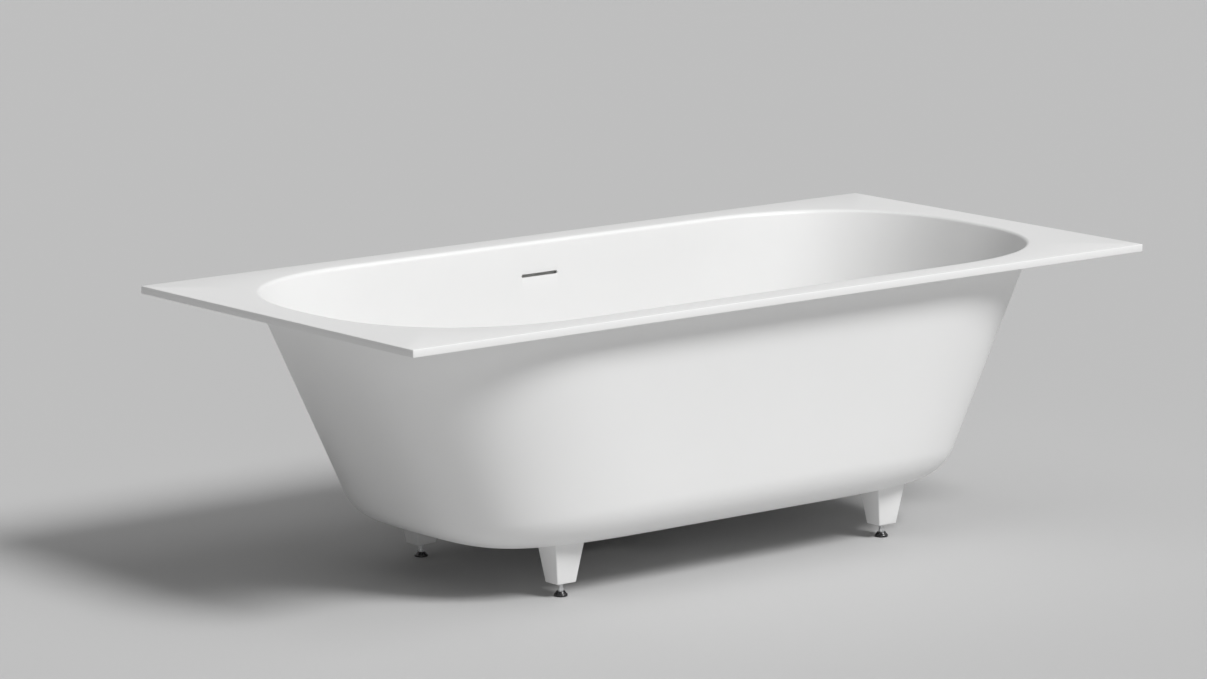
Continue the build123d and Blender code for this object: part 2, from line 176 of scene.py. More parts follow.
low_body = oval(base_under)
high_body = oval(rim_under)
low_basin = oval(basin_floor, wall)
high_basin = oval(rim_top, wall)


def wall_ring(low, high, low_z, high_z, section):
    """Rings on the wall between two outlines. The section gives, for a lean of the wall, how high each
    ring is and how far it stands out from the wall, level."""
    columns = []
    for number in range(stations):
        before, after = number - 1, (number + 1) % stations
        along = low[after] - low[before]
        out = Vector((along.y, -along.x)).normalized()
        lean = atan((high[number] - low[number]).dot(out) / (high_z - low_z))
        column = []
        for height, stand in section(lean):
            share = (height - low_z) / (high_z - low_z)
            along = low[after].lerp(high[after], share) - low[before].lerp(high[before], share)
            out = Vector((along.y, -along.x)).normalized()
            column.append(Vector((*(low[number].lerp(high[number], share) + out * stand), height)))
        columns.append(column)
    return [list(ring) for ring in zip(*columns)]


def foot_round(floor_z, radius, lean, steps):
    """Round between a level floor and the foot of the leaning wall, from the floor up."""
    sweep = pi / 2 - lean
    start = radius / tan((pi / 2 + lean) / 2)
    for step in range(steps + 1):
        turn = sweep * step / steps
        rise = radius * (1 - cos(turn))
        yield floor_z + rise, radius * sin(turn) - start - rise * tan(lean)


def head_round(rim_z, radius, lean, steps):
    """Round between the level rim and the head of the leaning wall, from the rim down."""
    sweep = pi / 2 - lean
    start = radius / tan((pi / 2 + lean) / 2)
    for step in range(steps + 1):
        turn = sweep * step / steps
        fall = radius * (1 - cos(turn))
        yield rim_z - fall, start - radius * sin(turn) + fall * tan(lean)


def body_section(lean):
    """The outside of the body, from its level base up to the rim's underside."""
    foot = list(foot_round(base_under, base_round, lean, 16))
    head = list(head_round(rim_under, cove_round, lean, 5))[::-1]
    low_z, high_z = foot[-1][0], head[0][0]
    side = [(low_z + (high_z - low_z) * step / 8, 0) for step in range(1, 8)]
    return foot + side + head + [(rim_under, head[-1][1] + 0.004)]


def basin_section(lean):
    """The inside of the basin, from the rim's top down to its level floor."""
    head = list(head_round(rim_top, lip_round, lean, 8))
    foot = list(foot_round(basin_floor, basin_round, lean, 16))[::-1]
    high_z, low_z = head[-1][0], foot[0][0]
    side = [(high_z + (low_z - high_z) * step / 8, 0) for step in range(1, 8)]
    return [(rim_top, head[0][1] + 0.004)] + head + side + foot


def circle(radius, height):
    """A ring round the drain whose points lie in the directions of the oval's."""
    return [Vector((*(point.normalized() * radius), height)) for point in low_body]


def rim_edge(height):
    """The rim's rectangular edge, with a point in each corner."""
    half_length, half_width, straight = rim_length / 2, rim_width / 2, 0.4
    points = []
    for point in high_body:
        if abs(point.x) <= straight + 1e-6:
            points.append(Vector((point.x, copysign(half_width, point.y), height)))
        else:
            away = point - Vector((copysign(straight, point.x), 0))
            reach = min((half_length - straight) / abs(away.x), half_width / max(abs(away.y), 1e-9))
            away *= reach
            points.append(Vector((copysign(straight, point.x) + away.x, away.y, height)))
    for x in (-half_length, half_length):
        for y in (-half_width, half_width):
            corner = Vector((x, y, height))
            nearest = min(range(stations), key=lambda number: (points[number] - corner).length)
            points[nearest] = corner
    return points


def place_ring(points):
    """Moves the ring of points that is selected."""
    drawn = bmesh.from_edit_mesh(tub.data)
    station = drawn.verts.layers.int["station"]
    for vertex in drawn.verts:
        if vertex.select:
            vertex.co = points[vertex[station]]


body_rings = wall_ring(low_body, high_body, base_under, rim_under, body_section)
basin_rings = wall_ring(low_basin, high_basin, basin_floor, rim_top, basin_section)
drain_rings = [
    circle(dish_radius, basin_floor),
    circle(recess_radius, dish_foot),
    circle(recess_radius, recess_floor),
    circle(drain_radius, recess_floor),
    circle(drain_radius, base_under),
]
bpy.ops.mesh.primitive_circle_add(vertices=stations, radius=drain_radius, location=(0, 0, base_under))
tub = bpy.context.object
tub.name = "tub"
bpy.ops.object.transform_apply()
bpy.ops.object.mode_set(mode="EDIT")
drawn = bmesh.from_edit_mesh(tub.data)
station = drawn.verts.layers.int.new("station")
for number, vertex in enumerate(drawn.verts):
    vertex[station] = number
place_ring(circle(drain_radius, base_under))
for ring in [*body_rings, rim_edge(rim_under), rim_edge(rim_top), *basin_rings, *drain_rings]:
    bpy.ops.mesh.extrude_region_move()
    place_ring(ring)
bpy.ops.mesh.select_all(action="SELECT")
bpy.ops.mesh.remove_doubles(threshold=0.00001)
bpy.ops.mesh.normals_make_consistent(inside=False)
bpy.ops.mesh.select_mode(type="EDGE")
bpy.ops.mesh.select_all(action="DESELECT")
drawn = bmesh.from_edit_mesh(tub.data)
for edge in drawn.edges:
    ends = [vertex.co for vertex in edge.verts]
    on_end = all(abs(abs(end.x) - rim_length / 2) < 1e-5 for end in ends)
    on_side = all(abs(abs(end.y) - rim_width / 2) < 1e-5 for end in ends)
    level = abs(ends[0].z - ends[1].z) < 1e-5
    edge.select = (on_end and on_side) or (level and (on_end or on_side))
bmesh.update_edit_mesh(tub.data)
bpy.ops.mesh.bevel(offset=0.0013, segments=3, profile=0.5, affect="EDGES")
bpy.ops.object.mode_set(mode="OBJECT")

# The slot is sawn through the back wall into a pocket that is open to the outside.
slot_place = Matrix(
    (
        (1, 0, 0, 0),
        (0, -sin(side_lean), cos(side_lean), 0.33327),
        (0, -cos(side_lean), -sin(side_lean), 0.462),
        (0, 0, 0, 1),
    )
)


def cut_away(piece, cutter):
    """Takes the cutter's shape out of a piece."""
    trim = piece.modifiers.new("trim", "BOOLEAN")
    trim.operation = "DIFFERENCE"
    trim.solver = "EXACT"
    trim.object = cutter
    bpy.context.view_layer.objects.active = piece
    bpy.ops.object.modifier_apply(modifier=trim.name)
    bpy.data.objects.remove(cutter)


def smooth(piece, angle=30):
    """Shades a piece smooth, but for the edges sharper than the angle."""
    bpy.ops.object.select_all(action="DESELECT")
    piece.select_set(True)
    bpy.context.view_layer.objects.active = piece
    bpy.ops.object.shade_smooth_by_angle(angle=radians(angle))


def rounded_block(size, corner, place, steps=6):
    """A block whose upright edges are rounded, put in its place."""
    bpy.ops.object.select_all(action="DESELECT")
    bpy.ops.mesh.primitive_cube_add(size=1)
    piece = bpy.context.object
    piece.scale = size
    bpy.ops.object.transform_apply()
    bpy.ops.object.mode_set(mode="EDIT")
    bpy.ops.mesh.select_mode(type="EDGE")
    drawn = bmesh.from_edit_mesh(piece.data)
    for edge in drawn.edges:
        edge.select = abs(edge.verts[0].co.z - edge.verts[1].co.z) > 1e-6
    bmesh.update_edit_mesh(piece.data)
    bpy.ops.mesh.bevel(offset=corner, segments=steps, profile=0.5, affect="EDGES")
    bpy.ops.object.mode_set(mode="OBJECT")
    piece.data.transform(place)
    return piece


cut_away(tub, rounded_block((0.085, 0.006, 0.016), 0.00295, slot_place))
pocket_place = slot_place @ Matrix.Translation((0.010, 0.014, 0.004 + 0.0045))
cut_away(tub, rounded_block((0.120, 0.044, 0.009), 0.006, pocket_place))
bpy.ops.object.mode_set(mode="EDIT")
bpy.ops.mesh.select_mode(type="EDGE")
bpy.ops.mesh.select_all(action="DESELECT")
drawn = bmesh.from_edit_mesh(tub.data)
into_slot = slot_place.inverted()
for edge in drawn.edges:
    ends = [into_slot @ vertex.co for vertex in edge.verts]
    edge.select = all(abs(end.z) < 2e-5 and abs(end.x) < 0.0427 and abs(end.y) < 0.00302 for end in ends)
bmesh.update_edit_mesh(tub.data)
bpy.ops.mesh.bevel(offset=0.0006, segments=3, profile=0.5, affect="EDGES")
bpy.ops.object.mode_set(mode="OBJECT")
smooth(tub)

moulded_skin = bpy.data.node_groups.new("Moulded Skin", "ShaderNodeTree")
for socket, kind, start in (
    ("Vector", "NodeSocketVector", None),
    ("Fine Scale", "NodeSocketFloat", 400.0),
    ("Broad Scale", "NodeSocketFloat", 6.0),
    ("Least Roughness", "NodeSocketFloat", 0.3),
    ("Most Roughness", "NodeSocketFloat", 0.4),
    ("Tone", "NodeSocketColor", None),
    ("Other Tone", "NodeSocketColor", None),
):
    made = moulded_skin.interface.new_socket(name=socket, in_out="INPUT", socket_type=kind)
    if start is not None:
        made.default_value = start
for socket, kind in (
    ("Color", "NodeSocketColor"),
    ("Roughness", "NodeSocketFloat"),
    ("Height", "NodeSocketFloat"),
):
    moulded_skin.interface.new_socket(name=socket, in_out="OUTPUT", socket_type=kind)
given = moulded_skin.nodes.new("NodeGroupInput")
made = moulded_skin.nodes.new("NodeGroupOutput")
pebble = moulded_skin.nodes.new("ShaderNodeTexNoise")
pebble.inputs["Detail"].default_value = 3
cloud = moulded_skin.nodes.new("ShaderNodeTexNoise")
cloud.inputs["Detail"].default_value = 5
cloud.inputs["Roughness"].default_value = 0.6
mix = moulded_skin.nodes.new("ShaderNodeMix")
mix.data_type = "RGBA"
spread = moulded_skin.nodes.new("ShaderNodeMapRange")
spread.inputs["From Min"].default_value = 0.3
spread.inputs["From Max"].default_value = 0.7
moulded_skin.links.new(given.outputs["Vector"], pebble.inputs["Vector"])
moulded_skin.links.new(given.outputs["Vector"], cloud.inputs["Vector"])
moulded_skin.links.new(given.outputs["Fine Scale"], pebble.inputs["Scale"])
moulded_skin.links.new(given.outputs["Broad Scale"], cloud.inputs["Scale"])
moulded_skin.links.new(cloud.outputs["Fac"], mix.inputs["Factor"])
moulded_skin.links.new(given.outputs["Tone"], mix.inputs[6])
moulded_skin.links.new(given.outputs["Other Tone"], mix.inputs[7])
moulded_skin.links.new(cloud.outputs["Fac"], spread.inputs["Value"])
moulded_skin.links.new(given.outputs["Least Roughness"], spread.inputs["To Min"])
moulded_skin.links.new(given.outputs["Most Roughness"], spread.inputs["To Max"])
moulded_skin.links.new(mix.outputs[2], made.inputs["Color"])
moulded_skin.links.new(spread.outputs["Result"], made.inputs["Roughness"])
moulded_skin.links.new(pebble.outputs["Fac"], made.inputs["Height"])


def moulded_finish(name, tone, other_tone, roughness, fine, broad, dent):
    """A cast or moulded finish: two close tones, uneven gloss and a faint pebbled skin."""
    finish, tree, shader, place = new_finish(name)
    skin = tree.nodes.new("ShaderNodeGroup")
    skin.node_tree = moulded_skin
    skin.inputs["Tone"].default_value = (*tone, 1)
    skin.inputs["Other Tone"].default_value = (*other_tone, 1)
    skin.inputs["Least Roughness"].default_value = roughness[0]
    skin.inputs["Most Roughness"].default_value = roughness[1]
    skin.inputs["Fine Scale"].default_value = fine
    skin.inputs["Broad Scale"].default_value = broad
    bump = tree.nodes.new("ShaderNodeBump")
    bump.inputs["Strength"].default_value = 1
    bump.inputs["Distance"].default_value = dent
    tree.links.new(place, skin.inputs["Vector"])
    tree.links.new(skin.outputs["Color"], shader.inputs["Base Color"])
    tree.links.new(skin.outputs["Roughness"], shader.inputs["Roughness"])
    tree.links.new(skin.outputs["Height"], bump.inputs["Height"])
    tree.links.new(bump.outputs["Normal"], shader.inputs["Normal"])
    return finish


gelcoat = moulded_finish(
    "white_gelcoat", (0.830, 0.830, 0.826), (0.850, 0.850, 0.847), (0.38, 0.44), 260, 5, 0.00003
)
gelcoat.node_tree.nodes["Principled BSDF"].inputs["IOR"].default_value = 1.5


def finish_piece(piece, finish, slot, body, *nodes):
    """Gives a finished piece its material and its body, and hides the CAD nodes it stands for. The slot is
    not used.
    """
    piece.data.materials.clear()
    piece.data.materials.append(finish)
    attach(piece, body)
    if nodes:
        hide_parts(*nodes)


finish_piece(tub, gelcoat, "cast_white", "tub", "tub_shell")

# Legs: four tapered blocks cast in the same white composite and bonded under the body. Each has a
# six-sided hole in its foot for the brass insert.


def soften(piece, width, steps=3, angle=30):
    """Rounds every edge of a piece that is sharper than the angle."""
    bpy.ops.object.select_all(action="DESELECT")
    piece.select_set(True)
    bpy.context.view_layer.objects.active = piece
    edge = piece.modifiers.new("edge", "BEVEL")
    edge.width = width
    edge.segments = steps
    edge.limit_method = "ANGLE"
    edge.angle_limit = radians(angle)
    edge.miter_outer = "MITER_ARC"
    bpy.ops.object.modifier_apply(modifier=edge.name)
    smooth(piece, angle)


def copies(piece, name, places):
    """A copy of a finished piece, with its own mesh, at each place."""
    made = {}
    for corner, (x, y) in places.items():
        copy = bpy.data.objects.new(f"{name}_{corner}", piece.data.copy())
        bpy.context.scene.collection.objects.link(copy)
        copy.data.transform(Matrix.Translation((x, y, 0)))
        made[corner] = copy
    bpy.data.objects.remove(piece)
    return made


leg_places = {
    "front_left": (-0.380, -0.203),
    "back_left": (-0.380, 0.203),
    "front_right": (0.380, -0.203),
    "back_right": (0.380, 0.203),
}
leg_head = (0.0659, 0.0545)
leg_foot = (0.042, 0.035)
bpy.ops.object.select_all(action="DESELECT")
bpy.ops.mesh.primitive_cube_add(size=1, location=(0, 0, 0.063))
leg_block = bpy.context.object
leg_block.scale = (*leg_head, 0.076)
bpy.ops.object.transform_apply()
bpy.ops.object.mode_set(mode="EDIT")
bpy.ops.mesh.select_mode(type="FACE")
bpy.ops.mesh.select_all(action="DESELECT")
drawn = bmesh.from_edit_mesh(leg_block.data)
for face in drawn.faces:
    face.select = face.normal.z < -0.9
bmesh.update_edit_mesh(leg_block.data)
bpy.ops.transform.resize(value=(leg_foot[0] / leg_head[0], leg_foot[1] / leg_head[1], 1))
bpy.ops.object.mode_set(mode="OBJECT")
soften(leg_block, 0.002, 4)
bpy.ops.mesh.primitive_cylinder_add(
    vertices=6, radius=0.007 / cos(pi / 6), depth=0.040, location=(0, 0, 0.025)
)
insert_hole = bpy.context.object
bpy.ops.object.transform_apply()
cut_away(leg_block, insert_hole)
smooth(leg_block)
for corner, leg in copies(leg_block, "leg_block", leg_places).items():
    finish_piece(leg, gelcoat, "cast_white", "tub", f"leg_{corner}")

# Levelling studs: M10 steel rod, zinc plated, with a rolled thread of 1.5 mm pitch. Two flats just
# above the pad take a spanner, and the stud's smooth end turns in the pad.


def turned(name, section, steps=64):
    """A lathe-turned piece: its half section, in mm, is drawn point by point and spun round Z."""
    bpy.ops.object.select_all(action="DESELECT")
    bpy.ops.mesh.primitive_plane_add(size=0.001)
    piece = bpy.context.object
    piece.name = name
    bpy.ops.object.mode_set(mode="EDIT")
    bpy.ops.mesh.select_mode(type="VERT")
    bpy.ops.mesh.select_all(action="SELECT")
    bpy.ops.mesh.merge(type="CENTER")
    section = [(reach / 1000, height / 1000) for reach, height in section]
    bpy.ops.transform.translate(value=(section[0][0], 0, section[0][1]))
    for before, after in zip(section, section[1:]):
        step = (after[0] - before[0], 0, after[1] - before[1])
        bpy.ops.mesh.extrude_region_move(TRANSFORM_OT_translate={"value": step})
    bpy.ops.mesh.select_all(action="SELECT")
    bpy.ops.mesh.spin(steps=steps, angle=2 * pi, center=(0, 0, 0), axis=(0, 0, 1))
    bpy.ops.mesh.select_all(action="SELECT")
    bpy.ops.mesh.remove_doubles(threshold=0.000002)
    bpy.ops.mesh.normals_make_consistent(inside=False)
    bpy.ops.object.mode_set(mode="OBJECT")
    smooth(piece)
    return piece


def joined(name, *pieces):
    """Joins loose pieces into one object."""
    bpy.ops.object.select_all(action="DESELECT")
    for piece in pieces:
        piece.select_set(True)
    bpy.context.view_layer.objects.active = pieces[0]
    bpy.ops.object.join()
    pieces[0].name = name
    return pieces[0]


stud = turned(
    "stud",
    [
        (0, 2.5), (4.4, 2.5), (5, 3.1), (5, 15), (4.2, 15.8), (4.2, 61.8), (3.6, 62.5), (0, 62.5),
    ],
    48,
)
for side in (-1, 1):
    flat_place = Matrix.Translation((0, side * 0.006, 0.0115))
    cut_away(stud, rounded_block((0.02, 0.004, 0.005), 0.0004, flat_place, 2))
bpy.ops.object.select_all(action="DESELECT")
bpy.ops.mesh.primitive_plane_add(size=0.001)
thread = bpy.context.object
bpy.ops.object.mode_set(mode="EDIT")
drawn = bmesh.from_edit_mesh(thread.data)
bmesh.ops.delete(drawn, geom=drawn.faces[:], context="FACES_ONLY")
ridge = [(0.00410, 0.0156), (0.00494, 0.01618), (0.00494, 0.01638), (0.00410, 0.0170)]
for vertex, (reach, height) in zip(drawn.verts, (ridge[0], ridge[1], ridge[3], ridge[2])):
    vertex.co = (reach, 0, height)
bmesh.update_edit_mesh(thread.data)
bpy.ops.object.mode_set(mode="OBJECT")
winding = thread.modifiers.new("winding", "SCREW")
winding.axis = "Z"
winding.angle = 2 * pi
winding.screw_offset = 0.0015
winding.iterations = 30
winding.steps = 32
winding.render_steps = 32
bpy.ops.object.modifier_apply(modifier=winding.name)
bpy.ops.object.mode_set(mode="EDIT")
bpy.ops.mesh.select_all(action="SELECT")
bpy.ops.mesh.fill_holes(sides=8)
bpy.ops.mesh.normals_make_consistent(inside=False)
bpy.ops.object.mode_set(mode="OBJECT")
smooth(thread)
stud = joined("stud", stud, thread)

metal_wear = bpy.data.node_groups.new("Metal Wear", "ShaderNodeTree")
for socket, kind in (
    ("Vector", "NodeSocketVector"),
    ("Scale", "NodeSocketFloat"),
    ("Least Roughness", "NodeSocketFloat"),
    ("Most Roughness", "NodeSocketFloat"),
    ("Tone", "NodeSocketColor"),
    ("Other Tone", "NodeSocketColor"),
):
    metal_wear.interface.new_socket(name=socket, in_out="INPUT", socket_type=kind)
for socket, kind in (
    ("Color", "NodeSocketColor"),
    ("Roughness", "NodeSocketFloat"),
    ("Height", "NodeSocketFloat"),
):
    metal_wear.interface.new_socket(name=socket, in_out="OUTPUT", socket_type=kind)
given = metal_wear.nodes.new("NodeGroupInput")
made = metal_wear.nodes.new("NodeGroupOutput")
spots = metal_wear.nodes.new("ShaderNodeTexNoise")
spots.inputs["Detail"].default_value = 6
spots.inputs["Roughness"].default_value = 0.65
lines = metal_wear.nodes.new("ShaderNodeTexNoise")
lines.inputs["Detail"].default_value = 2
stretch = metal_wear.nodes.new("ShaderNodeMapping")
stretch.inputs["Scale"].default_value = (1, 1, 14)
mix = metal_wear.nodes.new("ShaderNodeMix")
mix.data_type = "RGBA"
spread = metal_wear.nodes.new("ShaderNodeMapRange")
spread.inputs["From Min"].default_value = 0.35
spread.inputs["From Max"].default_value = 0.65
metal_wear.links.new(given.outputs["Vector"], spots.inputs["Vector"])
metal_wear.links.new(given.outputs["Vector"], stretch.inputs["Vector"])
metal_wear.links.new(stretch.outputs["Vector"], lines.inputs["Vector"])
metal_wear.links.new(given.outputs["Scale"], spots.inputs["Scale"])
metal_wear.links.new(given.outputs["Scale"], lines.inputs["Scale"])
metal_wear.links.new(spots.outputs["Fac"], mix.inputs["Factor"])
metal_wear.links.new(given.outputs["Tone"], mix.inputs[6])
metal_wear.links.new(given.outputs["Other Tone"], mix.inputs[7])
metal_wear.links.new(spots.outputs["Fac"], spread.inputs["Value"])
metal_wear.links.new(given.outputs["Least Roughness"], spread.inputs["To Min"])
metal_wear.links.new(given.outputs["Most Roughness"], spread.inputs["To Max"])
metal_wear.links.new(mix.outputs[2], made.inputs["Color"])
metal_wear.links.new(spread.outputs["Result"], made.inputs["Roughness"])
metal_wear.links.new(lines.outputs["Fac"], made.inputs["Height"])


def metal_finish(name, tone, other_tone, roughness, scale, dent):
    """A bare or plated metal: close tones in spots, uneven gloss and faint tool lines."""
    finish, tree, shader, place = new_finish(name)
    shader.inputs["Metallic"].default_value = 1
    wear = tree.nodes.new("ShaderNodeGroup")
    wear.node_tree = metal_wear
    wear.inputs["Tone"].default_value = (*tone, 1)
    wear.inputs["Other Tone"].default_value = (*other_tone, 1)
    wear.inputs["Least Roughness"].default_value = roughness[0]
    wear.inputs["Most Roughness"].default_value = roughness[1]
    wear.inputs["Scale"].default_value = scale
    bump = tree.nodes.new("ShaderNodeBump")
    bump.inputs["Strength"].default_value = 1
    bump.inputs["Distance"].default_value = dent
    tree.links.new(place, wear.inputs["Vector"])
    tree.links.new(wear.outputs["Color"], shader.inputs["Base Color"])
    tree.links.new(wear.outputs["Roughness"], shader.inputs["Roughness"])
    tree.links.new(wear.outputs["Height"], bump.inputs["Height"])
    tree.links.new(bump.outputs["Normal"], shader.inputs["Normal"])
    return finish


zinc = metal_finish("zinc_plate", (0.70, 0.71, 0.72), (0.78, 0.79, 0.80), (0.30, 0.42), 500, 0.00001)
for corner, piece in copies(stud, "stud_rod", leg_places).items():
    finish_piece(piece, zinc, "zinc_steel", f"stud_{corner}", f"stud_{corner}")

# Foot pads: black nylon, moulded in one piece, gloss. The outer edge stands just clear of the floor,
# and a raised lip keeps the stud's end in its cup.
pad = turned(
    "pad",
    [
        (0, 0), (10.8, 0), (11.2, 0.4), (12, 0.4), (12.4, 0.7), (12.5, 1.2), (12.5, 3), (12.3, 3.6),
        (11.9, 4.2), (9.8, 6.4), (8.8, 7.8), (8.4, 8.6), (7.9, 9), (7.2, 8.9), (6.6, 8.2),
        (5.8, 7.6), (5.05, 7.4), (5.05, 2.5), (0, 2.5),
    ],
    64,
)
nylon = moulded_finish(
    "black_nylon", (0.012, 0.012, 0.013), (0.022, 0.022, 0.024), (0.16, 0.26), 900, 60, 0.00001
)
for corner, piece in copies(pad, "pad", leg_places).items():
    finish_piece(piece, nylon, "black_plastic", f"foot_pad_{corner}", f"foot_pad_{corner}")

# Leg inserts: six-sided brass nuts that carry the studs, pressed into the legs and flush with them.
# They keep their CAD shape and only get their brass here.
brass = metal_finish("turned_brass", (0.70, 0.50, 0.22), (0.80, 0.60, 0.30), (0.22, 0.34), 400, 0.00001)
for corner, (x, y) in leg_places.items():
    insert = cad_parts[f"leg_insert_{corner}"]
    insert.data.materials.clear()
    insert.data.materials.append(brass)

# Waste flange: chrome-plated brass, turned from one bar. It sits in the recess of the basin's floor,
# and a hub on three arms in its throat carries the plug's cartridge.
flange = turned(
    "flange",
    [
        (20.5, 83.7), (20.5, 103.6), (20.7, 103.9), (21.0, 104.0), (23.1, 104.0), (23.4, 104.1),
        (23.5, 104.4), (23.5, 105.6), (23.65, 105.9), (24.0, 106.0), (31.0, 106.0), (32.8, 105.85),
        (34.2, 105.5), (35.3, 104.95), (35.8, 104.5), (36.0, 104.1), (36.0, 103.7), (24.0, 103.7),
        (24.0, 83.7), (20.5, 83.7),
    ],
    96,
)
hub = turned(
    "hub",
    [
        (8.05, 94.5), (8.05, 99.5), (10.3, 99.5), (10.55, 99.2), (10.55, 94.8), (10.3, 94.5),
        (8.05, 94.5),
    ],
    48,
)
arms = []
for number in range(3):
    turn = Matrix.Rotation(pi / 2 + number * 2 * pi / 3, 4, "Z")
    arm = rounded_block((0.0118, 0.003, 0.005), 0.0003, turn @ Matrix.Translation((0.0160, 0, 0.097)), 2)
    soften(arm, 0.0005, 2)
    arms.append(arm)
flange = joined("strainer_flange", flange, hub, *arms)
chrome = metal_finish("chrome_plate", (0.80, 0.81, 0.83), (0.86, 0.87, 0.88), (0.06, 0.13), 220, 0.000002)
finish_piece(flange, chrome, "chrome", "tub", "waste_flange")

# Plug: a domed chrome cap on a brass stem, pressed to open and shut. A rubber ring under the cap
# seals on the flange's seat, and the stem slides in the bore of a plastic cartridge.
cap = turned(
    "plug_dome",
    [
        (0, 109.5), (8, 109.49), (16, 109.42), (22, 109.25), (26, 108.98), (28.6, 108.6),
        (30.0, 108.2), (30.7, 107.75), (31.0, 107.2), (30.95, 106.8), (30.6, 106.5), (6.5, 106.5),
        (6.5, 101.8), (6.2, 101.5), (4.0, 101.5), (4.0, 105.5), (0, 105.5),
    ],
    128,
)
finish_piece(cap, chrome, "chrome", "plug", "plug_cap")
ring = turned(
    "plug_ring",
    [
        (17.0, 104.4), (17.3, 104.0), (22.3, 104.0), (22.9, 104.25), (23.2, 104.7), (22.9, 105.1),
        (22.5, 105.3), (22.9, 105.5), (23.2, 105.9), (23.0, 106.3), (22.6, 106.5), (17.0, 106.5),
        (17.0, 104.4),
    ],
    96,
)
rubber = moulded_finish(
    "black_rubber", (0.016, 0.016, 0.016), (0.030, 0.030, 0.030), (0.62, 0.80), 1200, 80, 0.00002
)
finish_piece(ring, rubber, "black_rubber", "plug", "plug_seal")
stem = turned(
    "plug_pin",
    [
        (0, 75.5), (3.4, 75.5), (4.0, 76.1), (4.0, 92.0), (3.6, 92.4), (3.6, 93.2), (4.0, 93.6),
        (4.0, 105.5), (0, 105.5),
    ],
    48,
)
finish_piece(stem, brass, "brass", "plug", "plug_stem")
cartridge = turned(
    "click_cartridge",
    [
        (0, 69.5), (7.2, 69.5), (8.0, 70.3), (8.0, 73.0), (7.5, 73.4), (7.5, 75.0), (8.0, 75.4),
        (8.0, 99.5), (10.2, 99.5), (10.5, 99.8), (10.5, 101.2), (10.2, 101.5), (4.5, 101.5),
        (4.05, 101.1), (4.05, 73.5), (0, 73.5),
    ],
    64,
)
acetal = moulded_finish(
    "grey_acetal", (0.17, 0.175, 0.18), (0.20, 0.205, 0.21), (0.34, 0.46), 900, 60, 0.00001
)
finish_piece(cartridge, acetal, "grey_plastic", "tub", "plug_cartridge")
for seal in ("waste_flange_seal", "waste_body_seal"):
    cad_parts[seal].data.materials.clear()
    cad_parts[seal].data.materials.append(rubber)

# Waste body: a cup moulded in white polypropylene, screwed up under the floor by the flange's thread.
# A pipe leaves it for the trap and a socket takes the overflow pipe.


def along(origin, axis, upright=(0, 0, 1)):
    """Puts a piece made on the Z axis at a point, looking along an axis."""
    axis = Vector(axis).normalized()
    side = Vector(upright).cross(axis).normalized()
    up = axis.cross(side)
    place = Matrix((side, up, axis)).transposed().to_4x4()
    place.translation = Vector(origin)
    return place


def set_in(piece, place):
    """Moves a piece's mesh to its place."""
    piece.data.transform(place)
    return piece


def bore_out(piece, place, radius, reach):
    """Drills a piece from a point, along the place's Z axis."""
    bpy.ops.object.select_all(action="DESELECT")
    bpy.ops.mesh.primitive_cylinder_add(vertices=96, radius=radius, depth=reach, location=(0, 0, reach / 2))
    hole = bpy.context.object
    bpy.ops.object.transform_apply()
    cut_away(piece, set_in(hole, place))


def socket_section(radius, bore, depth, length):
    """Half section of a threaded socket that looks up the Z axis, with its mouth at the origin."""
    outer = radius + 3.5
    root = outer - 0.9
    section = [(bore, -length), (bore, -depth), (radius + 0.2, -depth)]
    section += [(radius + 0.2, -0.6), (radius + 0.8, 0), (root, 0)]
    for turn in range(5):
        height = -0.5 - 2.2 * turn
        section += [(root, height), (outer, height - 0.7)]
        section += [(outer, height - 1.1), (root, height - 1.8)]
    return section + [(root, -12.0), (outer, -12.6), (outer, -length), (bore, -length)]


to_trap = Vector((cos(radians(140)), sin(radians(140)), 0))
overflow_foot = Vector((0.00978, 0.061224, 0.062))
overflow_way = Vector((0.1577, 0.9875, 0))
cup = turned(
    "waste_cup",
    [
        (0, 41.0), (29.5, 41.0), (31.5, 41.4), (32.6, 42.4), (33.0, 44.0), (33.0, 88.0),
        (33.4, 88.8), (34.4, 89.0), (36.4, 89.0), (37.0, 89.6), (37.0, 92.9), (36.4, 93.5),
        (24.05, 93.5), (24.05, 82.0), (30.0, 82.0), (30.0, 44.0), (0, 44.0),
    ],
    96,
)
outlet = turned(
    "outlet",
    [
        (18.0, 22.0), (18.0, 92.0), (19.4, 92.0), (20.0, 91.0), (20.0, 22.0), (18.0, 22.0),
    ],
    96,
)
set_in(outlet, along((0, 0, 0.062), to_trap))
branch = turned("branch", socket_section(12.5, 10.7, 18, 38), 64)
set_in(branch, along(overflow_foot, overflow_way))
for pipe in (outlet, branch):
    bore_out(pipe, Matrix.Translation((0, 0, 0.03)), 0.031, 0.080)
cup_ribs = []
for number in range(12):
    turn = radians(30 * number + 15)
    rib_place = Matrix.Rotation(turn, 4, "Z") @ Matrix.Translation((0.0340, 0, 0.074))
    rib = rounded_block((0.0032, 0.002, 0.030), 0.0004, rib_place, 2)
    way = Vector((cos(turn), sin(turn), 0))
    if max(way.dot(to_trap), way.dot(overflow_way)) < 0.6:
        cup_ribs.append(rib)
    else:
        bpy.data.objects.remove(rib)
bore_out(cup, along((0, 0, 0.062), to_trap), 0.018, 0.040)
bore_out(cup, along((0, 0, 0.062), overflow_way), 0.0107, 0.040)
cup = joined("waste_cup", cup, outlet, branch, *cup_ribs)
smooth(cup)
white_plastic = moulded_finish(
    "white_polypropylene", (0.76, 0.765, 0.76), (0.80, 0.805, 0.80), (0.36, 0.48), 700, 30, 0.00002
)
finish_piece(cup, white_plastic, "white_plastic", "tub", "waste_body")

